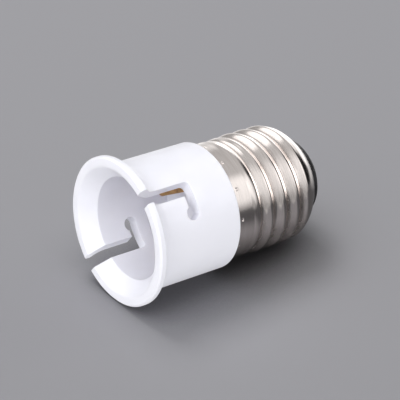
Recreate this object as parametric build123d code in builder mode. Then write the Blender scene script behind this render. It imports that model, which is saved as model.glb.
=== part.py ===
"""Lamp socket adapter: a bayonet lamp socket on a screw cap, built from eight pieces, in millimetres.

The adapter stands on its mouth rim. z = 0 is the rim plane, +Z runs along the axis to the tip contact,
and the two bayonet slots open towards +X and -X.
"""

import os
from math import cos, hypot, radians, sin, sqrt, tan

from build123d import *

# Socket tube and flared mouth
bore_radius = 11.25
wall = 2.75
lip_reach = 2.25
lip_height = 1.35
lip_edge_chamfer = 0.4
flare_height = 3.0
flare_round = 3.0
mouth_flare = 2.85
mouth_depth = 3.2
body_length = 22.4
shoulder_chamfer = 0.35

# Contact well and floor
strip_room = 0.6
well_relief = 0.25
floor_drop = 0.8
floor_thickness = 2.4

# Bayonet slots
slot_width = 3.0
slot_depth = 12.4
slot_corner_round = 0.8
hook_angle = 21.7
hook_neck = 2.2
hook_eye_radius = 1.5

# Screw shell: a right-hand rolled thread above a plain collar, closed by a coned end
sheet = 0.4
cap_length = 23.6
collar_drop = 0.35
collar_length = 5.8
run_in_length = 3.3
thread_radius = 13.15
thread_pitch = 3.63
thread_depth = 1.07
thread_wall = 0.33
thread_phase = 74.4
crest_flat = 0.7
flank_angle = 45
groove_margin = 0.1
groove_overcut = 0.2
end_drop = 3.55
crimp_count = 12
crimp_phase = 13.5
crimp_offset = 1.5
crimp_width = 0.8
crimp_height = 0.6
crimp_depth = 0.22

# Spigot that carries the screw shell
shell_clearance = 0.1
spigot_setback = 5.0

# Tip insulator and tip contact
insulator_depth = 2.3
insulator_rise = 2.9
insulator_face_inset = 2.4
insulator_edge_chamfer = 0.8
insulator_clearance = 0.05
contact_radius = 5.0
contact_thickness = 0.5
contact_chamfer = 0.2
shank_radius = 1.8
shank_clearance = 0.1
shank_head_rim = 0.8
shank_head_height = 0.5

# Spring strips
strip_thickness = 0.5
strip_width = 4.0
strip_height = 16.0
strip_reach = 5.5
strip_leg = 6.0
strip_side_gap = 1.08
strip_bend = 0.8
strip_end_round = 1.8
tab_width = 2.4
tab_shoulder = 1.0
tab_wall_gap = 0.4
tail_bend = 0.7
tail_gap = 0.35
bead_radius = 0.55
bead_clearance = 0.15
tab_clearance = 0.35
tab_end_clearance = 0.3

# Straps that carry the current inside the cap
strap_thickness = 0.4
strap_width = 1.8
strap_bend = 0.6
strap_gap = 0.3
strap_wall_gap = 0.15
strap_joint_gap = 0.1

# Sizes of the socket that follow from those above
tube_radius = bore_radius + wall
lip_radius = tube_radius + lip_reach
mouth_radius = bore_radius + mouth_flare
well_radius = bore_radius + well_relief
bore_end = strip_height - strip_room
floor_height = body_length - floor_drop
floor_top = floor_height + floor_thickness
slot_reach = lip_radius + wall
hook_eye_height = slot_depth - hook_eye_radius

# The strips lie along two chords of the bore, and the hollow above the floor clears their tabs
strip_outer_edge = sqrt(bore_radius**2 - (strip_leg + strip_thickness) ** 2) - strip_side_gap
strip_inner_edge = strip_outer_edge - strip_width
hollow_radius = hypot(strip_leg + strip_thickness, strip_inner_edge + tab_width) + tab_wall_gap
pivot_height = floor_height + floor_thickness / 2
tail_height = floor_top + tail_gap + strip_thickness / 2
tail_length = strip_leg - strap_width / 2 - strap_gap

# The shell is rolled from one tube, so its collar, thread and end hole follow the crest radius
shell_end = body_length + cap_length
collar_end = body_length + collar_length
collar_radius = thread_radius - collar_drop
collar_bore_radius = collar_radius - sheet
core_radius = thread_radius - thread_depth
shell_bore_radius = core_radius - thread_wall
end_hole_radius = thread_radius - end_drop
collar_spigot_radius = collar_bore_radius - shell_clearance
spigot_radius = shell_bore_radius - shell_clearance
spigot_end = shell_end - spigot_setback

# The coned end of the shell falls at 45 degrees from the crest radius to the end hole
end_cone_sum = end_hole_radius + shell_end
cone_start = end_cone_sum - thread_radius
inner_cone_sum = end_cone_sum - sheet * sqrt(2)
insulator_cone_sum = inner_cone_sum - insulator_clearance * sqrt(2)
shell_edge_drop = sheet / sqrt(2)


def axial_plane(angle, offset=0.0):
    """Plane through the axis turned by angle about Z: local x is radial, y is Z, z is the normal."""
    along = Vector(cos(radians(angle)), sin(radians(angle)), 0)
    across = Vector(sin(radians(angle)), -cos(radians(angle)), 0)
    return Plane(origin=across * offset, x_dir=along, z_dir=across)


def radial_plane(angle):
    """Plane on the axis that faces outwards at angle: local x is tangential, y is Z."""
    outward = Vector(cos(radians(angle)), sin(radians(angle)), 0)
    tangent = Vector(-sin(radians(angle)), cos(radians(angle)), 0)
    return Plane(origin=(0, 0, 0), x_dir=tangent, z_dir=outward)


# Body: one moulding of revolution, then slotted
with BuildPart() as body:
    with BuildSketch(Plane.XZ):
        with BuildLine():
            flare = FilletPolyline(
                (lip_radius, lip_height),
                (tube_radius, flare_height),
                (tube_radius, body_length - shoulder_chamfer),
                radius=flare_round,
            )
            Polyline(
                flare @ 1,
                (tube_radius - shoulder_chamfer, body_length),
                (collar_spigot_radius, body_length),
                (collar_spigot_radius, collar_end - sheet - shell_clearance),
                (spigot_radius, collar_end - sheet - shell_clearance),
                (spigot_radius, spigot_end),
                (hollow_radius, spigot_end),
                (hollow_radius, floor_top),
                (0, floor_top),
                (0, floor_height),
                (well_radius, floor_height),
                (well_radius, bore_end),
                (bore_radius, bore_end),
                (bore_radius, mouth_depth),
                (mouth_radius, 0),
                (lip_radius - lip_edge_chamfer, 0),
                (lip_radius, lip_edge_chamfer),
                flare @ 0,
            )
        make_face()
    revolve(axis=Axis.Z)
    for side in (0, 180):
        with BuildSketch(radial_plane(side)):
            with BuildLine():
                Polyline(
                    (-slot_width / 2, -lip_height),
                    (slot_width / 2, -lip_height),
                    (slot_width / 2, slot_depth),
                    (-slot_width / 2, slot_depth),
                    close=True,
                )
            make_face()
            fillet(vertices().sort_by(Axis.Y)[-2:].sort_by(Axis.X)[0], slot_corner_round)
        extrude(amount=slot_reach, mode=Mode.SUBTRACT)
        with BuildSketch(axial_plane(side)):
            with Locations((bore_radius + wall / 2, slot_depth - hook_neck / 2)):
                Rectangle(2 * wall, hook_neck)
        revolve(axis=Axis.Z, revolution_arc=hook_angle, mode=Mode.SUBTRACT)
        with BuildSketch(radial_plane(side + hook_angle)):
            with Locations((0, hook_eye_height)):
                Circle(hook_eye_radius)
        extrude(amount=slot_reach, mode=Mode.SUBTRACT)
        with BuildSketch(axial_plane(side + hook_angle, strip_inner_edge - tab_end_clearance)):
            with Locations((strip_leg, pivot_height)):
                Rectangle(strip_thickness + 2 * tab_clearance, 2 * floor_thickness)
                Circle(bead_radius + bead_clearance)
        extrude(amount=tab_width + 2 * tab_end_clearance, mode=Mode.SUBTRACT)
body.part.label = "body"

# Screw shell: a turned blank with a helical groove between the crests, then bored and punched
flank_slope = tan(radians(flank_angle))
groove_mouth_half = (thread_pitch - crest_flat) / 2
groove_root_half = groove_mouth_half - thread_depth / flank_slope
groove_top_half = groove_mouth_half + groove_overcut / flank_slope
groove_start = collar_end + groove_mouth_half + groove_margin
groove_rise = cone_start - groove_mouth_half - groove_margin - groove_start
groove_side = axial_plane(thread_phase)

with BuildPart() as screw_shell:
    with BuildSketch(Plane.XZ):
        with BuildLine():
            Polyline(
                (0, body_length),
                (collar_radius, body_length),
                (collar_radius, collar_end),
                (thread_radius, collar_end + run_in_length),
                (thread_radius, cone_start),
                (end_hole_radius, shell_end),
                (end_hole_radius - shell_edge_drop, shell_end - shell_edge_drop),
                (0, shell_end - shell_edge_drop),
                close=True,
            )
        make_face()
    revolve(axis=Axis.Z)
    with BuildLine(Plane(origin=(0, 0, groove_start), x_dir=groove_side.x_dir, z_dir=(0, 0, 1))) as groove:
        Helix(pitch=thread_pitch, height=groove_rise, radius=core_radius)
    with BuildSketch(groove_side):
        with BuildLine():
            Polyline(
                (core_radius, groove_start - groove_root_half),
                (core_radius, groove_start + groove_root_half),
                (thread_radius + groove_overcut, groove_start + groove_top_half),
                (thread_radius + groove_overcut, groove_start - groove_top_half),
                close=True,
            )
        make_face()
    sweep(path=groove.wires()[0], is_frenet=True, mode=Mode.SUBTRACT)
    with BuildSketch(Plane.XZ):
        with BuildLine():
            Polyline(
                (0, body_length - sheet),
                (collar_bore_radius, body_length - sheet),
                (collar_bore_radius, collar_end - sheet),
                (shell_bore_radius, collar_end - sheet),
                (shell_bore_radius, inner_cone_sum - shell_bore_radius),
                (0, inner_cone_sum),
                close=True,
            )
        make_face()
    revolve(axis=Axis.Z, mode=Mode.SUBTRACT)
    with Locations((0, 0, body_length + crimp_offset)):
        with PolarLocations(collar_radius, crimp_count, crimp_phase):
            Box(2 * crimp_depth, crimp_width, crimp_height, mode=Mode.SUBTRACT)
screw_shell.part.label = "screw_shell"

# Tip insulator: a black plug held behind the coned end of the shell
insulator_back = shell_end - insulator_depth
insulator_face = shell_end + insulator_rise
insulator_face_radius = end_hole_radius - insulator_face_inset
insulator_waist = shell_end - shell_edge_drop
insulator_hole = shank_radius + shank_clearance

with BuildPart() as tip_insulator:
    with BuildSketch(Plane.XZ):
        with BuildLine():
            Polyline(
                (insulator_hole, insulator_back),
                (insulator_cone_sum - insulator_back, insulator_back),
                (insulator_cone_sum - insulator_waist, insulator_waist),
                (insulator_face_radius, insulator_face),
                (insulator_hole, insulator_face),
                close=True,
            )
        make_face()
        chamfer(vertices().group_by(Axis.Y)[-1].sort_by(Axis.X)[-1], insulator_edge_chamfer)
    revolve(axis=Axis.Z)
tip_insulator.part.label = "tip_insulator"

# Tip contact: a pressed disc with a shank riveted over behind the insulator
contact_face = insulator_face + contact_thickness
shank_head_radius = shank_radius + shank_head_rim
shank_end = insulator_back - shank_head_height

with BuildPart() as tip_contact:
    with BuildSketch(Plane.XZ):
        with BuildLine():
            Polyline(
                (0, contact_face),
                (contact_radius - contact_chamfer, contact_face),
                (contact_radius, contact_face - contact_chamfer),
                (contact_radius, insulator_face),
                (shank_radius, insulator_face),
                (shank_radius, insulator_back),
                (shank_head_radius, insulator_back),
                (shank_head_radius, shank_end),
                (0, shank_end),
                close=True,
            )
        make_face()
    revolve(axis=Axis.Z)
tip_contact.part.label = "tip_contact"

# Spring strips: a flat arm for the lamp, a leg, a tab through the floor and a clinched tail
arm_middle = strip_height + strip_thickness / 2
tab_start = floor_height - tab_shoulder
tab_cut_width = 2 * tail_length + 2 * strip_thickness
tab_cut_height = 2 * (tail_height + strip_thickness - tab_start)


def spring_strip(angle):
    """One bent spring strip whose arm runs inwards from its leg at angle about the axis."""
    inner_plane = axial_plane(angle, strip_inner_edge)
    arm_axis = Axis(inner_plane.origin, inner_plane.x_dir)
    with BuildPart() as strip:
        with BuildSketch(inner_plane):
            with BuildLine():
                FilletPolyline(
                    (-strip_reach, arm_middle),
                    (strip_leg, arm_middle),
                    (strip_leg, tail_height),
                    (strip_leg - tail_length, tail_height),
                    radius=[strip_bend, tail_bend],
                )
            trace(line_width=strip_thickness)
        extrude(amount=strip_width)
        fillet(strip.edges().filter_by(Axis.Z).group_by(arm_axis)[0], strip_end_round)
        with BuildSketch(axial_plane(angle, strip_inner_edge + tab_width)):
            with Locations((strip_leg, tab_start + tab_cut_height / 2)):
                Rectangle(tab_cut_width, tab_cut_height)
        extrude(amount=strip_width, mode=Mode.SUBTRACT)
        with BuildSketch(inner_plane):
            with Locations((strip_leg, pivot_height)):
                Circle(bead_radius)
        extrude(amount=tab_width)
    return strip


line_contact = spring_strip(hook_angle)
line_contact.part.label = "line_contact"
neutral_contact = spring_strip(hook_angle + 180)
neutral_contact.part.label = "neutral_contact"

# Straps: bent strips across the spring strips, from their tails to the tip contact and the shell
strap_floor = floor_top + strap_thickness / 2
strap_wall = sqrt(hollow_radius**2 - (strap_width / 2) ** 2) - strap_wall_gap - strap_thickness / 2
strap_turn = spigot_end + strap_wall_gap + strap_thickness / 2
strap_end = sqrt(shell_bore_radius**2 - (strap_width / 2) ** 2) - strap_joint_gap

line_route = [
    (strip_inner_edge + tab_width, strap_floor),
    (0, strap_floor),
    (0, shank_end),
]
neutral_route = [
    (strip_inner_edge, strap_floor),
    (strap_wall, strap_floor),
    (strap_wall, strap_turn),
    (strap_end, strap_turn),
]


def strap(angle, route):
    """One bent strap along a route of (radius, height) points in the plane through the axis at angle."""
    with BuildPart() as bent_strap:
        with BuildSketch(axial_plane(angle)):
            with BuildLine():
                FilletPolyline(*route, radius=strap_bend)
            trace(line_width=strap_thickness)
        extrude(amount=strap_width / 2, both=True)
    return bent_strap


line_strap = strap(hook_angle - 90, line_route)
line_strap.part.label = "line_strap"
neutral_strap = strap(hook_angle + 90, neutral_route)
neutral_strap.part.label = "neutral_strap"

os.makedirs("parts", exist_ok=True)
pieces = (
    body,
    screw_shell,
    tip_insulator,
    tip_contact,
    line_contact,
    neutral_contact,
    line_strap,
    neutral_strap,
)
for piece in pieces:
    export_step(piece.part, f"parts/{piece.part.label}.step")
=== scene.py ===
"""Looks of a lamp socket adapter: white socket body, rolled screw cap, black tip and brass springs.

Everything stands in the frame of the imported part: the mouth rim stands on z = 0, +Z runs to the tip and
+X goes through the slot that faces the camera. The pieces and the grounds give lengths in millimetres and
write their meshes in metres. A finish writes each length with the factor MM, because its nodes read
metres, and gives the scale of a noise in cells to the metre.
"""

from __future__ import annotations

import logging
import math
from dataclasses import dataclass
from enum import Enum

import bpy
import numpy as np
from mathutils import Matrix, Vector

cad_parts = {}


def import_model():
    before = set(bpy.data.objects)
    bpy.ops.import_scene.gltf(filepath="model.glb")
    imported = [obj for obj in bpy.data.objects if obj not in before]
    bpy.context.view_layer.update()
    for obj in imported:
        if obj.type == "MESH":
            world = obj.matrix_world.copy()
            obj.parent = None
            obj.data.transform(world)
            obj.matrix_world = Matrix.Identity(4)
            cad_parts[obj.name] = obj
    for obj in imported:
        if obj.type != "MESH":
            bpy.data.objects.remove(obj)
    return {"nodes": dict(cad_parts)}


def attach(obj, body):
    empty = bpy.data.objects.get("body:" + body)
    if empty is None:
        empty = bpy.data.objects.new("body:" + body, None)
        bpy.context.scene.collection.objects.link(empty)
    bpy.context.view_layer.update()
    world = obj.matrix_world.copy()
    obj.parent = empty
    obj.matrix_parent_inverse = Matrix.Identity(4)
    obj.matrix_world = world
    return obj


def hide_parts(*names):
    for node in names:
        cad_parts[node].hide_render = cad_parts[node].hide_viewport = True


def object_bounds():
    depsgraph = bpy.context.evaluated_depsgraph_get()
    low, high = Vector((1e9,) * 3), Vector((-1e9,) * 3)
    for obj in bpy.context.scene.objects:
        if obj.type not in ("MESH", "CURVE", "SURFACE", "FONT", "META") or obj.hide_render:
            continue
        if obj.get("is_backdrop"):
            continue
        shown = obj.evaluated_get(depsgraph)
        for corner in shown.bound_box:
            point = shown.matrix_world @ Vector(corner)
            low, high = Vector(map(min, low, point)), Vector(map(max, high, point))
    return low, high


MM = 0.001
FULL_TURN = 2 * math.pi
NOISE_MIDDLE = 0.5
CRISP_ANGLE = 50.0
EDGE_SAMPLES = 6
ROOT_ATTRIBUTE = "root"
LOG = logging.getLogger("socket_adapter")

# Places of the colour sockets on a Mix node.
MIX_SHARE = 0
MIX_FIRST = 6
MIX_SECOND = 7
MIX_RESULT = 2

Pair = tuple[float, float]
Triple = tuple[float, float, float]


class Slot(Enum):
    """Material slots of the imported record."""

    WHITE = "white_plastic"
    NICKEL = "nickel_plate"
    BLACK = "black_insulator"
    TIP = "tip_metal"
    BRASS = "spring_brass"


class Body(Enum):
    """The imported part's body that new pieces ride on."""

    ADAPTER = "adapter"


class Ray(Enum):
    """What a node can ask about the ray that meets a surface or the room."""

    CAMERA = "Is Camera Ray"
    GLOSSY = "Is Glossy Ray"
    SHEETS_CROSSED = "Transparent Depth"
    REFLECTIONS = "Glossy Depth"


class Shade:
    """A node's output socket, whose values take part in Python expressions."""

    def __init__(self, net: Net, socket: bpy.types.NodeSocket) -> None:
        """Keep the socket and the node tree that it belongs to."""
        self.net = net
        self.socket = socket

    def __add__(self, other: Term) -> Shade:
        """Sum of two values."""
        return self.net.math("ADD", self, other)

    def __radd__(self, other: Term) -> Shade:
        """Sum with a plain number on the left."""
        return self.net.math("ADD", other, self)

    def __sub__(self, other: Term) -> Shade:
        """Difference of two values."""
        return self.net.math("SUBTRACT", self, other)

    def __rsub__(self, other: Term) -> Shade:
        """Difference with a plain number on the left."""
        return self.net.math("SUBTRACT", other, self)

    def __mul__(self, other: Term) -> Shade:
        """Product of two values."""
        return self.net.math("MULTIPLY", self, other)

    def __rmul__(self, other: Term) -> Shade:
        """Product with a plain number on the left."""
        return self.net.math("MULTIPLY", other, self)

    def __abs__(self) -> Shade:
        """The value without its sign."""
        return self.net.math("ABSOLUTE", self)

    def __gt__(self, other: Term) -> Shade:
        """One where this value is the larger, else nought."""
        return self.net.math("GREATER_THAN", self, other)

    def __lt__(self, other: Term) -> Shade:
        """One where this value is the smaller, else nought."""
        return self.net.math("LESS_THAN", self, other)

    def either(self, other: Term) -> Shade:
        """The larger of two values."""
        return self.net.math("MAXIMUM", self, other)

    def between(self, low: float, high: float) -> Shade:
        """Smooth step from nought at low to one at high, also with low above high.

        Args:
            low: value that gives nought.
            high: value that gives one.

        Returns:
            The eased share of the way from low to high.
        """
        node = self.net.node(
            "ShaderNodeMapRange",
            {"interpolation_type": "SMOOTHSTEP"},
            {"Value": self, "From Min": low, "From Max": high},
        )
        return self.net.out(node, "Result")


Term = Shade | float
Value = Shade | float | tuple


class Net:
    """The node tree of one material or of the room."""

    def __init__(self, tree: bpy.types.NodeTree) -> None:
        """Start from an empty tree."""
        self.tree = tree
        tree.nodes.clear()

    def node(
        self,
        kind: str,
        settings: dict[str, object] | None = None,
        sockets: dict[str | int, Value] | None = None,
    ) -> bpy.types.Node:
        """Add a node.

        Args:
            kind: Blender's name of the node type.
            settings: the node's own options, set before its sockets.
            sockets: values or links by socket name or place.

        Returns:
            The new node.
        """
        node = self.tree.nodes.new(kind)
        for name, value in (settings or {}).items():
            setattr(node, name, value)
        for key, value in (sockets or {}).items():
            if isinstance(value, Shade):
                self.tree.links.new(value.socket, node.inputs[key])
            else:
                node.inputs[key].default_value = value
        return node

    def out(self, node: bpy.types.Node, key: str | int) -> Shade:
        """One output of a node, ready for expressions."""
        return Shade(self, node.outputs[key])

    def math(self, operation: str, *terms: Term) -> Shade:
        """One Math node on up to three terms."""
        node = self.node("ShaderNodeMath", {"operation": operation}, dict(enumerate(terms)))
        return self.out(node, "Value")

    def place(self) -> Shade:
        """The point's place on the piece, in metres."""
        return self.out(self.node("ShaderNodeTexCoord"), "Object")

    def part(self, place: Shade, axis: str) -> Shade:
        """One coordinate of a place."""
        return self.out(self.node("ShaderNodeSeparateXYZ", None, {0: place}), axis)

    def along(self, place: Shade, direction: Triple) -> Shade:
        """How far a place lies along a plain direction: their dot product."""
        node = self.node("ShaderNodeVectorMath", {"operation": "DOT_PRODUCT"}, {0: place, 1: direction})
        return self.out(node, "Value")

    def from_axis(self, place: Shade) -> Shade:
        """Distance of a place from the part's axis: the length of its flat part."""
        flat = self.stretched(place, (1.0, 1.0, 0.0))
        return self.out(self.node("ShaderNodeVectorMath", {"operation": "LENGTH"}, {0: flat}), "Value")

    def ray(self, question: Ray) -> Shade:
        """What the ray at hand answers to a question."""
        return self.out(self.node("ShaderNodeLightPath"), question.value)

    def front(self) -> Shade:
        """One on the side that the faces point to, nought behind them."""
        return 1.0 - self.out(self.node("ShaderNodeNewGeometry"), "Backfacing")

    def stretched(self, place: Shade, scale: Triple, turn: float = 0.0) -> Shade:
        """Turn a place about the axis and stretch it, for a grain that runs one way.

        Args:
            place: the point.
            scale: factors along the three axes after the turn.
            turn: turn about Z, in degrees.

        Returns:
            The changed place.
        """
        rotation = (0.0, 0.0, math.radians(turn))
        turned = self.node("ShaderNodeMapping", None, {"Vector": place, "Rotation": rotation})
        factors = {0: self.out(turned, "Vector"), 1: scale}
        scaled = self.node("ShaderNodeVectorMath", {"operation": "MULTIPLY"}, factors)
        return self.out(scaled, "Vector")

    def noise(self, place: Shade, scale: float, detail: float = 2.0, rough: float = 0.5) -> Shade:
        """Cloudy noise from nought to one, with scale cells to the metre and detail finer octaves."""
        sockets = {"Vector": place, "Scale": scale, "Detail": detail, "Roughness": rough}
        return self.out(self.node("ShaderNodeTexNoise", None, sockets), "Fac")

    def drawn(
        self, place: Shade, cells: Triple, turn: float = 0.0, detail: float = 3.0, rough: float = 0.5
    ) -> Shade:
        """Noise drawn out one way, with its own cells to the metre along each axis after the turn."""
        return self.noise(self.stretched(place, cells, turn), 1.0, detail, rough)

    def blend(self, share: Term, first: Value, second: Value) -> Shade:
        """Mix of two colours: the first where the share is nought, the second where it is one."""
        sockets = {MIX_SHARE: share, MIX_FIRST: as_colour(first), MIX_SECOND: as_colour(second)}
        return self.out(self.node("ShaderNodeMix", {"data_type": "RGBA"}, sockets), MIX_RESULT)

    def relief(self, height: Shade, depth: float, normal: Shade | None = None) -> Shade:
        """Bump from a height.

        Args:
            height: height from nought to one.
            depth: rise in metres from nought to one.
            normal: normal to start from.

        Returns:
            The changed normal.
        """
        sockets = {"Strength": 1.0, "Distance": depth, "Height": height}
        if normal is not None:
            sockets["Normal"] = normal
        return self.out(self.node("ShaderNodeBump", None, sockets), "Normal")

    def soft_edges(self, radius: Term) -> Shade:
        """Normal that turns gently over sharp edges."""
        node = self.node("ShaderNodeBevel", {"samples": EDGE_SAMPLES}, {"Radius": radius})
        return self.out(node, "Normal")

    def mixed(self, share: Shade, first: Shade, second: Shade) -> Shade:
        """The first shader where the share is nought, the second where it is one."""
        return self.out(self.node("ShaderNodeMixShader", None, {0: share, 1: first, 2: second}), 0)

    def surface(self, sockets: dict[str | int, Value]) -> None:
        """End the tree in a Principled surface with these sockets."""
        shader = self.node("ShaderNodeBsdfPrincipled", None, sockets)
        self.node("ShaderNodeOutputMaterial", None, {"Surface": self.out(shader, 0)})

    def metal(self, colour: Shade, roughness: Shade, normal: Shade) -> None:
        """End the tree in bare metal."""
        self.surface({"Base Color": colour, "Metallic": 1.0, "Roughness": roughness, "Normal": normal})


def as_colour(value: Value) -> Value:
    """Give a plain colour its fourth number."""
    return (*value, 1.0) if isinstance(value, tuple) and len(value) == 3 else value


def in_metres(lengths: Pair) -> Pair:
    """Two lengths in millimetres as metres."""
    return lengths[0] * MM, lengths[1] * MM


def facing(net: Net, direction: Shade, towards: Triple) -> Shade:
    """How far a unit direction faces another one: the cosine of the angle between them."""
    return net.along(direction, tuple(Vector(towards).normalized()))


def new_material(name: str) -> tuple[bpy.types.Material, Net]:
    """Make an empty node material.

    Args:
        name: the material's name.

    Returns:
        The material and its net.
    """
    material = bpy.data.materials.new(name)
    material.use_nodes = True
    return material, Net(material.node_tree)


def dress(piece: bpy.types.Object, material: bpy.types.Material) -> None:
    """Give every face of a piece one material."""
    piece.data.materials.clear()
    piece.data.materials.append(material)


@dataclass(frozen=True)
class WhiteMoulding:
    """Satin white plastic: cool white, faint clouds, fine mould grain and a few rub marks.

    A little light goes into it, and the shading softens its edges, most of all the mouth's rim.
    """

    colour: Triple = (0.86, 0.86, 0.93)
    cloud_colour: Triple = (0.835, 0.835, 0.9)
    cloud_scale: float = 150.0
    cloud_cut: Pair = (0.35, 0.75)
    roughness: float = 0.36
    cloud_roughness: float = 0.1
    rub_cells: Triple = (900.0, 900.0, 5200.0)
    rub_turn: float = 20.0
    rub_cut: Pair = (0.6, 0.78)
    rub_roughness: float = 0.12
    grain_scale: float = 5200.0
    grain_depth: float = 0.004 * MM
    wave_scale: float = 320.0
    wave_depth: float = 0.02 * MM
    edge_round: float = 0.2 * MM
    mouth_round: float = 0.9 * MM
    mouth_radius: float = 14.1 * MM
    mouth_reach: Pair = (1.0 * MM, 0.8 * MM)
    slot_clear: Pair = (4.2 * MM, 6.0 * MM)
    bending: float = 1.5
    gloss: float = 0.45
    glow: float = 0.35
    glow_depth: float = 1.2 * MM
    glow_spread: Triple = (1.0, 1.0, 1.0)

    def rounding(self, net: Net, place: Shade) -> Shade:
        """Radius of the softened edges: larger near the mouth's ring, away from the slots.

        Args:
            net: the tree to add to.
            place: the point.

        Returns:
            The radius in metres.
        """
        beside = abs(net.from_axis(place) - self.mouth_radius).between(*self.mouth_reach)
        clear = abs(net.part(place, "Y")).between(*self.slot_clear)
        mouth = beside * clear * net.part(place, "Z").between(*self.mouth_reach)
        return self.edge_round + (self.mouth_round - self.edge_round) * mouth

    def material(self) -> bpy.types.Material:
        """Build the material: cloud noise tints it, drawn noise rubs it, wave and grain give relief.

        Returns:
            The material.
        """
        material, net = new_material("white_moulding")
        place = net.place()
        cloud = net.noise(place, self.cloud_scale, detail=3.0)
        grain = net.noise(place, self.grain_scale)
        wave = net.noise(place, self.wave_scale, detail=1.0)
        rub = net.drawn(place, self.rub_cells, self.rub_turn).between(*self.rub_cut)
        uneven = self.roughness + self.cloud_roughness * (cloud - NOISE_MIDDLE)
        waved = net.relief(wave, self.wave_depth, net.soft_edges(self.rounding(net, place)))
        net.surface(
            {
                "Base Color": net.blend(cloud.between(*self.cloud_cut), self.colour, self.cloud_colour),
                "Roughness": uneven + self.rub_roughness * rub,
                "Normal": net.relief(grain, self.grain_depth, waved),
                "IOR": self.bending,
                "Specular IOR Level": self.gloss,
                "Subsurface Weight": self.glow,
                "Subsurface Radius": self.glow_spread,
                "Subsurface Scale": self.glow_depth,
            }
        )
        return material


@dataclass(frozen=True)
class SatinNickel:
    """Satin nickel plate: warm grey with rolling streaks, browner and rougher down in the thread, where
    the brown is tarnish and painted shade.
    """

    colour: Triple = (0.8, 0.74, 0.71)
    streak_colour: Triple = (0.71, 0.65, 0.62)
    # Colour of the pits and of the thread's roots, where it is tarnish and painted shade.
    tarnish_and_shade_colour: Triple = (0.42, 0.36, 0.33)
    roughness: float = 0.15
    streak_cells: Triple = (160.0, 160.0, 9000.0)
    streak_fineness: float = 0.6
    streak_cut: Pair = (0.35, 0.7)
    streak_roughness: float = 0.06
    streak_depth: float = 0.0025 * MM
    cloud_scale: float = 260.0
    cloud_cut: Pair = (0.3, 0.7)
    cloud_roughness: float = 0.05
    root_cut: Pair = (0.6, 1.0)
    grime_and_shade_share: float = 0.55
    grime_roughness: float = 0.15
    pit_scale: float = 3800.0
    pit_cut: Pair = (0.68, 0.76)
    pit_share: float = 0.5

    def material(self) -> bpy.types.Material:
        """Build the material: streaks run round the axis, and the root attribute paints shade and tarnish
        into the grooves.

        Returns:
            The material.
        """
        material, net = new_material("satin_nickel")
        place = net.place()
        streak = net.drawn(place, self.streak_cells, rough=self.streak_fineness)
        cloud = net.noise(place, self.cloud_scale, detail=4.0)
        pits = net.noise(place, self.pit_scale).between(*self.pit_cut)
        root = net.out(net.node("ShaderNodeAttribute", {"attribute_name": ROOT_ATTRIBUTE}), "Fac")
        # Painted shade with tarnish: the roots of the thread darken, in cloudy patches, by the root
        # attribute.
        grime_and_shade = root.between(*self.root_cut) * cloud.between(*self.cloud_cut)
        plate = net.blend(streak.between(*self.streak_cut), self.colour, self.streak_colour)
        worn = net.blend(grime_and_shade * self.grime_and_shade_share, plate, self.tarnish_and_shade_colour)
        colour = net.blend(pits * self.pit_share, worn, self.tarnish_and_shade_colour)
        uneven = self.roughness + self.streak_roughness * (streak - NOISE_MIDDLE)
        roughness = uneven + self.cloud_roughness * cloud + self.grime_roughness * grime_and_shade
        net.metal(colour, roughness, net.relief(streak, self.streak_depth))
        return material


@dataclass(frozen=True)
class BlackInsulator:
    """Black moulded insulator: near black, dull, with pale dust specks."""

    colour: Triple = (0.012, 0.012, 0.013)
    worn_colour: Triple = (0.04, 0.039, 0.042)
    speck_colour: Triple = (0.36, 0.34, 0.33)
    roughness: float = 0.52
    cloud_scale: float = 420.0
    cloud_cut: Pair = (0.4, 0.75)
    cloud_roughness: float = 0.2
    speck_scale: float = 2600.0
    speck_cut: Pair = (0.69, 0.74)
    speck_share: float = 0.7
    speck_roughness: float = 0.3
    grain_scale: float = 6500.0
    grain_depth: float = 0.01 * MM
    gloss: float = 0.3

    def material(self) -> bpy.types.Material:
        """Build the material: clouds grey it, a fine noise cut high sets the specks.

        Returns:
            The material.
        """
        material, net = new_material("black_insulator")
        place = net.place()
        cloud = net.noise(place, self.cloud_scale, detail=4.0)
        specks = net.noise(place, self.speck_scale).between(*self.speck_cut)
        grain = net.noise(place, self.grain_scale)
        dark = net.blend(cloud.between(*self.cloud_cut), self.colour, self.worn_colour)
        uneven = self.roughness + self.cloud_roughness * (cloud - NOISE_MIDDLE)
        net.surface(
            {
                "Base Color": net.blend(specks * self.speck_share, dark, self.speck_colour),
                "Roughness": uneven + self.speck_roughness * specks,
                "Normal": net.relief(grain, self.grain_depth),
                "Specular IOR Level": self.gloss,
            }
        )
        return material


@dataclass(frozen=True)
class PlatedTip:
    """Plated brass tip: pale metal with turned rings and a yellower rubbed middle."""

    colour: Triple = (0.7, 0.665, 0.6)
    rubbed_colour: Triple = (0.66, 0.54, 0.36)
    stain_colour: Triple = (0.4, 0.34, 0.28)
    roughness: float = 0.27
    middle: Pair = (3.4 * MM, 2.04 * MM)
    rub_wander: float = 2.2 * MM
    rub_share: float = 0.8
    ring_step: float = 0.09 * MM
    ring_wander: float = 9.0
    ring_roughness: float = 0.05
    ring_depth: float = 0.0012 * MM
    cloud_scale: float = 700.0
    cloud_roughness: float = 0.16
    stain_cut: Pair = (0.56, 0.78)
    stain_share: float = 0.55

    def material(self) -> bpy.types.Material:
        """Build the material: rings follow the distance from the axis, clouds stain it.

        Returns:
            The material.
        """
        material, net = new_material("plated_tip")
        place = net.place()
        reach = net.from_axis(place)
        cloud = net.noise(place, self.cloud_scale, detail=4.0)
        rings = net.math("SINE", reach * (FULL_TURN / self.ring_step) + cloud * self.ring_wander)
        rubbed = (reach + cloud * self.rub_wander).between(*self.middle)
        plate = net.blend(rubbed * self.rub_share, self.colour, self.rubbed_colour)
        stain = cloud.between(*self.stain_cut) * self.stain_share
        roughness = self.roughness + self.ring_roughness * rings + self.cloud_roughness * cloud
        colour = net.blend(stain, plate, self.stain_colour)
        net.metal(colour, roughness, net.relief(rings, self.ring_depth))
        return material


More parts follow.
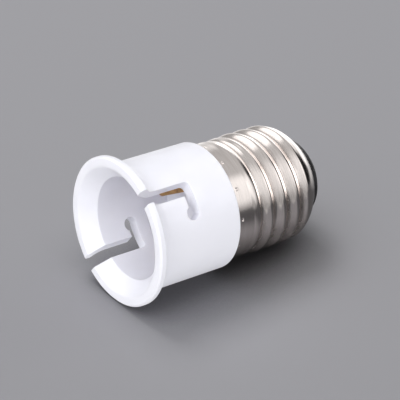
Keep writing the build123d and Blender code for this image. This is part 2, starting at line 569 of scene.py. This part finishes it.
@dataclass(frozen=True)
class SpringBrass:
    """Rolled spring brass: yellow brown with rolling lines along the strip and darker tarnish."""

    colour: Triple = (0.46, 0.27, 0.1)
    tarnish_colour: Triple = (0.2, 0.1, 0.045)
    roughness: float = 0.3
    lie: float = 21.7
    line_cells: Triple = (120.0, 7000.0, 7000.0)
    line_fineness: float = 0.6
    line_roughness: float = 0.14
    line_depth: float = 0.003 * MM
    cloud_scale: float = 520.0
    tarnish_cut: Pair = (0.42, 0.72)
    tarnish_share: float = 0.8
    tarnish_roughness: float = 0.2
    edge_round: float = 0.1 * MM

    def material(self) -> bpy.types.Material:
        """Build the material: lines lie along the strips, clouds tarnish them.

        Returns:
            The material.
        """
        material, net = new_material("spring_brass")
        place = net.place()
        lines = net.drawn(place, self.line_cells, -self.lie, detail=2.0, rough=self.line_fineness)
        tarnish = net.noise(place, self.cloud_scale, detail=4.0).between(*self.tarnish_cut)
        colour = net.blend(tarnish * self.tarnish_share, self.colour, self.tarnish_colour)
        uneven = self.roughness + self.line_roughness * (lines - NOISE_MIDDLE)
        roughness = uneven + self.tarnish_roughness * tarnish
        normal = net.relief(lines, self.line_depth, net.soft_edges(self.edge_round))
        net.metal(colour, roughness, normal)
        return material


def ring_mesh(name: str, points: np.ndarray) -> bpy.types.Object:
    """Make a closed piece from rings of points about the axis.

    Ring i is joined to ring i + 1 and the last to the first, and each ring closes on itself, so the
    surface has no end and no pole. Edges that turn by more than the crisp angle stay crisp.

    Args:
        name: the piece's name.
        points: array of rings x columns x 3, in millimetres, the rings in order round the section
            so that faces point outwards.

    Returns:
        The new object.
    """
    rings, columns = points.shape[:2]
    here = np.arange(rings * columns).reshape(rings, columns)
    right = np.roll(here, -1, axis=1)
    above = np.roll(here, -1, axis=0)
    faces = np.stack([here, right, np.roll(right, -1, axis=0), above], axis=-1).reshape(-1, 4)
    mesh = bpy.data.meshes.new(name)
    mesh.from_pydata((points.reshape(-1, 3) * MM).tolist(), [], faces.tolist())
    mesh.validate()
    mesh.shade_smooth()
    mesh.set_sharp_from_angle(angle=math.radians(CRISP_ANGLE))
    piece = bpy.data.objects.new(name, mesh)
    bpy.context.scene.collection.objects.link(piece)
    return piece


def even_angles(columns: int) -> np.ndarray:
    """Angles of a full turn in even steps."""
    return np.linspace(0.0, FULL_TURN, columns, endpoint=False)


def round_points(radius: np.ndarray, angle: np.ndarray, height: np.ndarray) -> np.ndarray:
    """Points about the axis, as whole grids: x = r cos a, y = r sin a, z = height.

    Args:
        radius: radius by ring, or by ring and column.
        angle: angle by column, or by ring and column.
        height: height by ring, or by ring and column.

    Returns:
        Array of rings x columns x 3.
    """
    across = radius * np.cos(angle)
    level = np.broadcast_to(height, across.shape)
    return np.stack([across, radius * np.sin(angle), level], axis=-1)


def turned_section(section: np.ndarray, angle: np.ndarray) -> np.ndarray:
    """Turn a section of (radius, height) rows about the axis, with a column at each angle."""
    return round_points(section[:, :1], angle, section[:, 1:])


def rounded_section(corners: np.ndarray, cuts: np.ndarray, steps: int) -> np.ndarray:
    """Round the corners of a closed section with tangent curves.

    Each corner p with unit directions a and b to its neighbours becomes the curve
    p + (1 - t)^2 c a + t^2 c b, where c is the cut along both sides.

    Args:
        corners: rows of (radius, height), in order round the section.
        cuts: the cut along each corner's sides, which is small against their length.
        steps: points to a corner.

    Returns:
        Rows of (radius, height) with steps rows for each corner.
    """
    back = np.roll(corners, 1, axis=0) - corners
    ahead = np.roll(corners, -1, axis=0) - corners
    back = back / np.linalg.norm(back, axis=1, keepdims=True)
    ahead = ahead / np.linalg.norm(ahead, axis=1, keepdims=True)
    share = np.linspace(0.0, 1.0, steps)[None, :, None]
    cut = cuts[:, None, None]
    curve = corners[:, None] + (1 - share) ** 2 * cut * back[:, None] + share**2 * cut * ahead[:, None]
    return curve.reshape(-1, 2)


def eased(value: np.ndarray, low: float, high: float) -> np.ndarray:
    """Smooth step from nought at low to one at high."""
    share = np.clip((value - low) / (high - low), 0.0, 1.0)
    return share * share * (3 - 2 * share)


def soft_patch(across: np.ndarray, along: np.ndarray, edges: tuple[Pair, Pair]) -> np.ndarray:
    """Soft-sided patch: one inside, easing to nought over the edges across and along it."""
    return (1 - eased(across, *edges[0])) * (1 - eased(along, *edges[1]))


@dataclass
class SocketBody:
    """The white moulding and its slots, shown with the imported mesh."""

    finish: WhiteMoulding = WhiteMoulding()

    def build(self, nodes: dict[str, bpy.types.Object]) -> list[bpy.types.Object]:
        """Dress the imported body.

        Args:
            nodes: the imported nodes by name.

        Returns:
            The dressed piece.
        """
        piece = nodes["body"]
        dress(piece, self.finish.material())
        return [piece]


@dataclass
class ScrewShell:
    """The rolled sheet cap: plain collar with punch marks, round thread, coned end turned in.

    The cone stands at 45 degrees, so the radius and the height of its points have one sum.
    """

    foot: float = 22.4
    collar_radius: float = 12.8
    collar_bore: float = 12.4
    collar_step: float = 27.8
    step_rise: float = 0.05
    thread_radius: float = 13.15
    thread_depth: float = 0.8
    pitch: float = 3.63
    first_crest: float = 30.83
    root_run_in: Pair = (27.3, 29.4)
    bead_run_in: Pair = (25.8, 27.0)
    bead_share: float = 0.3
    crest_run_in: Pair = (29.8, 31.6)
    run_out: Pair = (42.8, 41.0)
    bore: float = 11.75
    cone_sum: float = 55.8
    cone_blend: float = 2.2
    end: float = 46.2
    sheet: float = 0.4
    mark_count: int = 12
    mark_phase: float = 13.5
    mark_height: float = 23.75
    mark_size: Triple = (0.6, 0.45, 0.16)
    mark_edges: tuple[Pair, Pair] = ((0.75, 1.2), (0.7, 1.25))
    burr_edges: tuple[Pair, Pair] = ((1.1, 1.7), (1.2, 2.0))
    burr_share: float = 0.22
    sector_columns: int = 24
    column_draw: float = 0.11
    ring_counts: tuple[int, ...] = (4, 14, 5, 149, 15)
    edge_steps: int = 7
    finish: SatinNickel = SatinNickel()

    def thread(self, angle: np.ndarray, height: np.ndarray) -> np.ndarray:
        """Radius of the round thread.

        The rolled sheet follows a cosine wave along the axis, one pitch to a turn: the crest radius
        less half the depth times one minus the cosine of the way from the crest.

        Args:
            angle: angle about the axis.
            height: height of the point.

        Returns:
            The radius at each point.
        """
        turns = (height - self.first_crest) / self.pitch - angle / FULL_TURN
        return self.thread_radius - self.thread_depth / 2 * (1 - np.cos(FULL_TURN * turns))

    def marks(self, angle: np.ndarray, height: np.ndarray) -> np.ndarray:
        """Depth of the punch marks: a soft-sided dent at each of the even places, less a low burr.

        Args:
            angle: angle about the axis.
            height: height of the point.

        Returns:
            How far the sheet is pushed in.
        """
        width, tall, depth = self.mark_size
        sector = FULL_TURN / self.mark_count
        off = np.mod(angle - math.radians(self.mark_phase) + sector / 2, sector) - sector / 2
        across = np.abs(off) * self.collar_radius / (width / 2)
        along = np.abs(height - self.mark_height) / (tall / 2)
        inside = soft_patch(across, along, self.mark_edges)
        around = soft_patch(across, along, self.burr_edges)
        return depth * (inside - self.burr_share * (around - inside))

    def outside(self, angle: np.ndarray, height: np.ndarray) -> tuple[np.ndarray, np.ndarray]:
        """Outer radius and how deep in the thread each point lies.

        Over the run-in a low bead rises from the collar, then the roots sink below it and the crests
        rise above it. The thread eases into its crest level over the run-out, and a smooth minimum
        joins that to the cone.

        Args:
            angle: angle about the axis.
            height: height of the point.

        Returns:
            The radius, and the depth in the thread from nought to one.
        """
        thread = self.thread(angle, height)
        sunk = eased(height, *self.root_run_in)
        bead = self.bead_share * eased(height, *self.bead_run_in)
        risen = bead + (1 - self.bead_share) * eased(height, *self.crest_run_in)
        ended = eased(height, *self.run_out)
        ridge = self.thread_radius + (thread - self.thread_radius) * ended
        above = np.maximum(ridge - self.collar_radius, 0.0) * risen
        below = np.minimum(ridge - self.collar_radius, 0.0) * sunk
        wall = self.collar_radius + above + below
        cone = self.cone_sum - height
        share = np.clip((1 + (cone - wall) / self.cone_blend) / 2, 0.0, 1.0)
        radius = cone * (1 - share) + wall * share - self.cone_blend * share * (1 - share)
        depth = (self.thread_radius - thread) / self.thread_depth * sunk * ended
        return radius - self.marks(angle, height), depth

    def columns(self) -> np.ndarray:
        """Angles of the columns, drawn together at the punch marks.

        From one mark to the next, the even share s of the way becomes s less a small sine of s, with
        one wave to the sector.

        Returns:
            The angles of a full turn.
        """
        share = np.arange(self.sector_columns) / self.sector_columns
        sector = FULL_TURN / self.mark_count
        within = sector * (share - self.column_draw * np.sin(FULL_TURN * share))
        starts = sector * np.arange(self.mark_count)[:, None]
        return (starts + within + math.radians(self.mark_phase)).ravel()

    def levels(self) -> np.ndarray:
        """Heights of the outer wall's rings, closest over the punch marks and along the thread.

        Returns:
            The heights from the foot to the end, in even steps from stop to stop.
        """
        tall = self.mark_size[1]
        marks = (self.mark_height - tall, self.mark_height + tall)
        stops = (self.foot, *marks, self.bead_run_in[0], self.run_out[0], self.end)
        runs = zip(stops[:-1], stops[1:], self.ring_counts)
        steps = [np.linspace(low, high, count, endpoint=False) for low, high, count in runs]
        return np.append(np.concatenate(steps), self.end)

    def lining(self) -> np.ndarray:
        """Section of the turned edge and of the inner wall, from the end back to the foot.

        The edge is half a circle across the sheet, turned with the cone. Behind it the wall follows
        the cone, the bore and the wider collar.

        Returns:
            Rows of (radius, height).
        """
        half = self.sheet / 2
        slope = half / math.sqrt(2)
        turn = np.linspace(0.0, math.pi, self.edge_steps)[1:-1] + math.pi / 4
        end_radius = self.cone_sum - self.end
        edge = np.stack(
            [end_radius - slope + half * np.cos(turn), self.end - slope + half * np.sin(turn)], axis=-1
        )
        inner_end = (end_radius - 2 * slope, self.end - 2 * slope)
        wall = [
            inner_end,
            (self.bore, sum(inner_end) - self.bore),
            (self.bore, self.collar_step),
            (self.collar_bore, self.collar_step - self.step_rise),
            (self.collar_bore, self.foot),
        ]
        return np.concatenate([edge, np.array(wall)])

    def build(self) -> list[bpy.types.Object]:
        """Make the shell as one closed surface: outer wall up, turned edge, inner wall down.

        Returns:
            The new piece.
        """
        angle = self.columns()
        around, height = np.meshgrid(angle, self.levels())
        radius, depth = self.outside(around, height)
        inside = turned_section(self.lining(), angle)
        points = np.concatenate([round_points(radius, around, height), inside])
        piece = ring_mesh("rolled_screw_shell", points)
        # The root attribute carries the depth in the thread, which the finish uses to paint shade into
        # the grooves.
        mask = np.concatenate([depth, np.zeros(inside.shape[:2])])
        root = piece.data.attributes.new(ROOT_ATTRIBUTE, "FLOAT", "POINT")
        root.data.foreach_set("value", np.clip(mask, 0.0, 1.0).astype(np.float32).ravel())
        dress(piece, self.finish.material())
        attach(piece, Body.ADAPTER.value)
        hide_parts("screw_shell")
        return [piece]


@dataclass
class TipInsulator:
    """The black plug behind the coned end, swollen a little and with a rounded face edge."""

    hole: float = 1.9
    back: float = 43.7
    back_radius: float = 11.264
    waist: float = 45.717
    waist_radius: float = 9.247
    bulge: float = 47.7
    bulge_radius: float = 8.75
    face: float = 48.9
    face_radius: float = 7.3
    face_round: float = 0.6
    edge_round: float = 0.25
    hole_round: float = 0.1
    corner_steps: int = 8
    columns: int = 128
    finish: BlackInsulator = BlackInsulator()

    def build(self) -> list[bpy.types.Object]:
        """Turn the rounded section about the axis.

        Returns:
            The new piece.
        """
        rows = np.array(
            [
                (self.hole, self.back, self.hole_round),
                (self.back_radius, self.back, self.edge_round),
                (self.waist_radius, self.waist, self.edge_round),
                (self.bulge_radius, self.bulge, self.face_round),
                (self.face_radius, self.face, self.face_round),
                (self.hole, self.face, self.hole_round),
            ]
        )
        section = rounded_section(rows[:, :2], rows[:, 2], self.corner_steps)
        piece = ring_mesh("black_tip_plug", turned_section(section, even_angles(self.columns)))
        dress(piece, self.finish.material())
        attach(piece, Body.ADAPTER.value)
        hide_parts("tip_insulator")
        return [piece]


@dataclass
class TipContact:
    """The pressed tip disc on its shank, with the riveted head behind the plug."""

    radius: float = 5.0
    face: float = 49.4
    seat: float = 48.9
    shank: float = 1.8
    back: float = 43.7
    head: float = 2.6
    head_back: float = 43.2
    pinhole: float = 0.02
    pinhole_round: float = 0.005
    head_round: float = 0.2
    shank_round: float = 0.1
    seat_round: float = 0.12
    edge_round: float = 0.3
    corner_steps: int = 7
    columns: int = 128
    finish: PlatedTip = PlatedTip()

    def build(self) -> list[bpy.types.Object]:
        """Turn the rounded section about the axis, round a pinhole too fine to see.

        Returns:
            The new piece.
        """
        rows = np.array(
            [
                (self.pinhole, self.head_back, self.pinhole_round),
                (self.head, self.head_back, self.head_round),
                (self.head, self.back, self.shank_round),
                (self.shank, self.back, self.shank_round),
                (self.shank, self.seat, self.shank_round),
                (self.radius, self.seat, self.seat_round),
                (self.radius, self.face, self.edge_round),
                (self.pinhole, self.face, self.pinhole_round),
            ]
        )
        section = rounded_section(rows[:, :2], rows[:, 2], self.corner_steps)
        piece = ring_mesh("plated_tip_disc", turned_section(section, even_angles(self.columns)))
        dress(piece, self.finish.material())
        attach(piece, Body.ADAPTER.value)
        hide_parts("tip_contact")
        return [piece]


@dataclass
class BrassParts:
    """The two sprung strips in the socket and the two straps behind them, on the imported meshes."""

    names: tuple[str, ...] = ("line_contact", "neutral_contact", "line_strap", "neutral_strap")
    finish: SpringBrass = SpringBrass()

    def build(self, nodes: dict[str, bpy.types.Object]) -> list[bpy.types.Object]:
        """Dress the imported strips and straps.

        Args:
            nodes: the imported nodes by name.

        Returns:
            The dressed pieces.
        """
        material = self.finish.material()
        pieces = [nodes[name] for name in self.names]
        for piece in pieces:
            dress(piece, material)
        return pieces


@dataclass(frozen=True)
class PhotoCamera:
    """The camera at the photograph's viewing angle, placed in millimetres."""

    place: Triple = (325.044, 103.167, -201.041)
    look: Triple = (-0.79627, -0.25565, 0.54827)
    upward: Triple = (0.44893, -0.85721, 0.25229)
    lens: float = 171.0
    sensor: float = 36.0
    sight: Pair = (10.0, 10000.0)

    def build(self) -> None:
        """Make the camera and hand it to the scene."""
        data = bpy.data.cameras.new("photo_camera")
        data.lens = self.lens
        data.sensor_width = self.sensor
        data.clip_start, data.clip_end = in_metres(self.sight)
        forward = Vector(self.look).normalized()
        right = forward.cross(Vector(self.upward)).normalized()
        turn = Matrix((right, right.cross(forward), -forward)).transposed()
        camera = bpy.data.objects.new("photo_camera", data)
        camera.matrix_world = Matrix.Translation(Vector(self.place) * MM) @ turn.to_4x4()
        bpy.context.scene.collection.objects.link(camera)
        bpy.context.scene.camera = camera


@dataclass(frozen=True)
class SoftBox:
    """A soft white studio lamp that faces the object and shows in no mirror.

    Attributes:
        name: the lamp's name.
        towards: direction from the object to the lamp.
        power: strength in watts.
        side: side of its square face, in metres.
        distance: distance from the object, in metres.
        on_ground: whether it lights the floor and the table too.
    """

    name: str
    towards: Triple
    power: float
    side: float = 0.5
    distance: float = 0.6
    on_ground: bool = True

    def build(self, centre: Vector, grounds: list[bpy.types.Object]) -> None:
        """Hang the lamp and turn its face to the centre.

        Args:
            centre: the object's middle.
            grounds: floor and table, which a fill lamp leaves alone.
        """
        data = bpy.data.lights.new(self.name, "AREA")
        data.shape = "SQUARE"
        data.size = self.side
        data.energy = self.power
        direction = Vector(self.towards).normalized()
        lamp = bpy.data.objects.new(self.name, data)
        lamp.location = centre + direction * self.distance
        lamp.rotation_euler = direction.to_track_quat("Z", "Y").to_euler()
        lamp.visible_camera = False
        lamp.visible_glossy = False
        bpy.context.scene.collection.objects.link(lamp)
        if not self.on_ground:
            unlit = bpy.data.collections.new(self.name + "_leaves_out")
            for ground in grounds:
                unlit.objects.link(ground)
            for entry in unlit.collection_objects:
                entry.light_linking.link_state = "EXCLUDE"
            lamp.light_linking.receiver_collection = unlit


@dataclass(frozen=True)
class Window:
    """A soft round patch of the room that reflections see brighter or darker than the rest.

    Attributes:
        towards: direction from the object to the patch.
        edge: cosines from its middle at which it starts and is full.
        level: brightness that a window adds, or the share that a dark gap takes away.
    """

    towards: Triple
    edge: Pair
    level: float

    def share(self, net: Net, direction: Shade) -> Shade:
        """One in the middle of the patch, easing to nought outside it, times the level."""
        return self.level * facing(net, direction, self.towards).between(*self.edge)


@dataclass(frozen=True)
class Studio:
    """Pale floor, the table that the adapter lies on in the photograph's view, the room and the lamps.

    The adapter stands on its rim, and the photograph shows it lying down, so there are two grounds.
    The floor is two sheets under the rim, matt from above and clear from below. Only the photograph's
    view comes from under the floor and crosses both sheets, and then the tilted table shows, to the
    camera and in the metal. All other views show the level floor.
    """

    floor_up: Triple = (0.0, 0.0, 1.0)
    floor_levels: Pair = (-0.02, -1.0)
    floor_colour: Triple = (0.62, 0.617, 0.645)
    floor_fade: Pair = (600.0, 200.0)
    table_up: Triple = (0.8027, -0.5914, -0.0766)
    table_level: float = -16.27
    table_colour: Triple = (0.53, 0.527, 0.557)
    table_away: Triple = (-0.437, -0.671, 0.599)
    mirror_reach: Pair = (70.0, 40.0)
    mirror_foot: float = 5.0
    mirror_run: Pair = (32.0, 56.0)
    # Painted shade in the reflections: shares of the table's colour that reflections see near the foot
    # and towards the tip.
    reflection_shade_shares: Pair = (0.8, 0.28)
    ground_half: float = 900.0
    ground_beside: Triple = (0.3, 0.9, 0.2)
    contact_reach: float = 22.0
    contact_cut: Pair = (0.15, 0.95)
    # Colour of the painted shadow on the grounds near the adapter.
    painted_shadow_colour: Triple = (0.08, 0.079, 0.083)
    contact_samples: int = 12
    backdrop: Triple = (0.42, 0.417, 0.44)
    glow_colour: Triple = (1.0, 1.0, 1.0)
    horizon: float = 0.22
    overhead: float = 0.48
    overhead_run: Pair = (0.0, 0.9)
    underneath: float = 0.6
    underneath_run: Pair = (-0.05, -0.35)
    gloss_lift: float = 0.15
    second_gloss: float = 3.0
    more_than_one: float = 1.5
    windows: tuple[Window, ...] = (
        Window((0.81, 0.2, 0.55), (0.86, 0.97), 0.7),
        Window((-0.2, -0.5, 0.84), (0.915, 0.945), 1.1),
        Window((0.22, -0.95, -0.2), (0.86, 0.94), 1.0),
        Window((-0.437, -0.671, 0.599), (0.87, 0.96), 0.4),
        Window((0.93, 0.25, -0.25), (0.7, 1.0), 0.5),
    )
    gap: Window = Window((0.25, -0.06, 0.966), (0.82, 0.93), 0.97)
    lamps: tuple[SoftBox, ...] = (
        SoftBox("key_box", (0.468, -0.879, -0.058), 0.8, side=0.25),
        SoftBox("mouth_box", (0.42, -0.2, -0.88), 2.4, on_ground=False),
        SoftBox("side_box", (0.85, 0.35, -0.3), 1.8, on_ground=False),
        SoftBox("back_box", (-0.6, 0.75, 0.3), 0.9, on_ground=False),
        SoftBox("top_box", (0.15, 0.1, 1.0), 1.2),
    )

    def ground(self, name: str, normal: Triple, levels: tuple[float, ...]) -> bpy.types.Object:
        """Make a flat square ground of one or more sheets.

        A sheet's corners are its level times the normal plus and minus two half sides along the plane.

        Args:
            name: the ground's name.
            normal: its upward direction.
            levels: the sheets' heights along that direction, in millimetres.

        Returns:
            The new object.
        """
        up = np.array(normal) / np.linalg.norm(normal)
        across = np.cross(up, self.ground_beside)
        across = across / np.linalg.norm(across)
        along = np.cross(up, across)
        signs = np.array([(-1, -1), (1, -1), (1, 1), (-1, 1)])
        square = self.ground_half * (signs[:, :1] * across + signs[:, 1:] * along)
        points = (np.array(levels)[:, None, None] * up + square).reshape(-1, 3)
        faces = np.arange(len(points)).reshape(-1, 4)
        mesh = bpy.data.meshes.new(name)
        mesh.from_pydata((points * MM).tolist(), [], faces.tolist())
        ground = bpy.data.objects.new(name, mesh)
        bpy.context.scene.collection.objects.link(ground)
        ground.visible_diffuse = False
        ground.visible_shadow = False
        ground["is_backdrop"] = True
        return ground

    def one_sided(self, net: Net, seen: Shade, colour: Value) -> None:
        """End a ground's net: matt where it is seen, clear elsewhere, with a painted shadow where it is
        closed in.

        Args:
            net: the tree to end.
            seen: one where the ground shows.
            colour: the ground's colour in the open.
        """
        # Painted shadow: ambient occlusion darkens the ground's colour where the adapter closes it in.
        reach = {"Distance": self.contact_reach * MM}
        nearness = net.node("ShaderNodeAmbientOcclusion", {"samples": self.contact_samples}, reach)
        open_share = net.out(nearness, "AO").between(*self.contact_cut)
        shaded = net.blend(open_share, self.painted_shadow_colour, colour)
        matt = net.out(net.node("ShaderNodeBsdfDiffuse", None, {"Color": shaded}), 0)
        clear = net.out(net.node("ShaderNodeBsdfTransparent"), 0)
        net.node("ShaderNodeOutputMaterial", None, {"Surface": net.mixed(seen, clear, matt)})

    def floor(self) -> bpy.types.Object:
        """Lay the floor under the rim: the camera sees it from above, and it fades out far away.

        Returns:
            The floor.
        """
        ground = self.ground("floor", self.floor_up, self.floor_levels)
        material, net = new_material("pale_floor")
        near = net.from_axis(net.place()).between(*in_metres(self.floor_fade))
        self.one_sided(net, net.ray(Ray.CAMERA) * net.front() * near, self.floor_colour)
        dress(ground, material)
        return ground

    def table(self) -> bpy.types.Object:
        """Lay the table.

        The camera sees its part below the floor, and sees the rest through both sheets of the floor.
        Reflections see it through both sheets too, only near the adapter and above its foot, in darker
        copies of its colour that grow darker towards the tip: painted shade in the reflections.

        Returns:
            The table.
        """
        ground = self.ground("table", self.table_up, (self.table_level,))
        material, net = new_material("pale_table")
        place = net.place()
        height = net.part(place, "Z")
        through = net.ray(Ray.SHEETS_CROSSED) > self.more_than_one
        camera = net.ray(Ray.CAMERA) * (height < 0.0).either(through)
        near = net.along(place, self.table_away).between(*in_metres(self.mirror_reach))
        mirror = net.ray(Ray.GLOSSY) * through * (height > self.mirror_foot * MM) * near
        # Painted shade in the reflections: reflections see darker copies of the table's colour, darkest
        # towards the tip.
        front, far = (tuple(share * part for part in self.table_colour) for share in self.reflection_shade_shares)
        shaded_reflection_colour = net.blend(height.between(*in_metres(self.mirror_run)), front, far)
        colour = net.blend(mirror, self.table_colour, shaded_reflection_colour)
        self.one_sided(net, (camera + mirror) * net.front(), colour)
        dress(ground, material)
        return ground

    def room(self) -> None:
        """Set the room round the object.

        The camera sees the plain backdrop. Soft light comes from a level that grows from the horizon
        to overhead and to underneath, about the table's upward direction. Reflections see that level
        lifted, dimmed at the gap and with the windows added, and a second reflection sees it stronger,
        so that the roots of the thread keep some light.
        """
        world = bpy.data.worlds.new("soft_room")
        world.use_nodes = True
        net = Net(world.node_tree)
        direction = net.out(net.node("ShaderNodeTexCoord"), "Generated")
        up = facing(net, direction, self.table_up)
        level = self.horizon + (self.overhead - self.horizon) * up.between(*self.overhead_run)
        level = level + (self.underneath - self.horizon) * up.between(*self.underneath_run)
        shown = (level + self.gloss_lift) * (1.0 - self.gap.share(net, direction))
        for window in self.windows:
            shown = shown + window.share(net, direction)
        again = net.ray(Ray.REFLECTIONS) > self.more_than_one
        shown = shown * (1.0 + (self.second_gloss - 1.0) * again)
        level = level + net.ray(Ray.GLOSSY) * (shown - level)
        sockets = {"Color": as_colour(self.glow_colour), "Strength": level}
        glow = net.out(net.node("ShaderNodeBackground", None, sockets), 0)
        plain = net.out(net.node("ShaderNodeBackground", None, {"Color": as_colour(self.backdrop)}), 0)
        net.node("ShaderNodeOutputWorld", None, {"Surface": net.mixed(net.ray(Ray.CAMERA), glow, plain)})
        bpy.context.scene.world = world

    def build(self, centre: Vector) -> None:
        """Set up grounds, room and lamps.

        Args:
            centre: the object's middle, which the lamps face.
        """
        grounds = [self.floor(), self.table()]
        self.room()
        for lamp in self.lamps:
            lamp.build(centre, grounds)


def report(pieces: list[bpy.types.Object]) -> None:
    """Write each piece's name and face count to the log."""
    for piece in pieces:
        LOG.info("%s: %d faces", piece.name, len(piece.data.polygons))


def main() -> None:
    logging.basicConfig(level=logging.INFO, format="%(name)s: %(message)s")
    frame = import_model()
    packed_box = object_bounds()
    nodes = frame["nodes"]
    PhotoCamera().build()
    report(SocketBody().build(nodes))
    report(ScrewShell().build())
    report(TipInsulator().build())
    report(TipContact().build())
    report(BrassParts().build(nodes))
    Studio().build((packed_box[0] + packed_box[1]) / 2)
    bpy.context.scene.view_settings.view_transform = "Standard"


if __name__ == "__main__":
    main()
